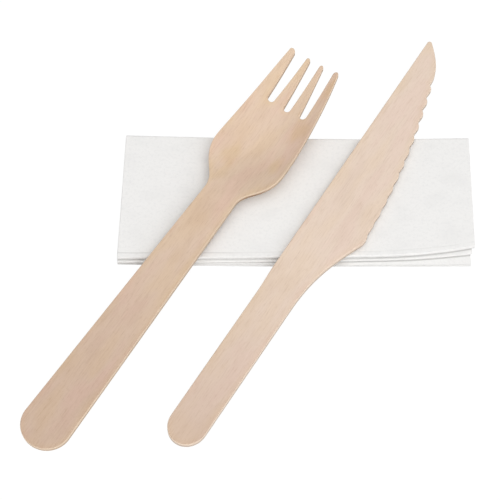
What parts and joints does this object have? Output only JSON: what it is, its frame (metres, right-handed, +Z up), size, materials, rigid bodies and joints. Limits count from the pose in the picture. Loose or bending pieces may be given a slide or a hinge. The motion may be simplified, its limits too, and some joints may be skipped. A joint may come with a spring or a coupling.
{
  "type": "wooden cutlery and napkin set",
  "caption": "Disposable place setting: a stamped birch fork with a pressed head and a flat toothed birch knife lying side by side on a folded white paper napkin.",
  "frame": {"origin": "on the supporting surface, under the middle of the folded napkin", "axes": "+X along the napkin's long side, +Y away from the cutlery's handle ends, +Z up"},
  "size_m": [0.136, 0.1429, 0.0165],
  "materials": {
    "fork_wood": "bare sanded birch veneer, matte",
    "knife_wood": "bare sanded birch veneer, matte, a shade paler than the fork",
    "napkin_paper": "soft white tissue with faint embossing"
  },
  "bodies": {
    "root": {"fork": "fork_wood", "knife": "knife_wood", "napkin": "napkin_paper"}
  },
  "joints": []
}
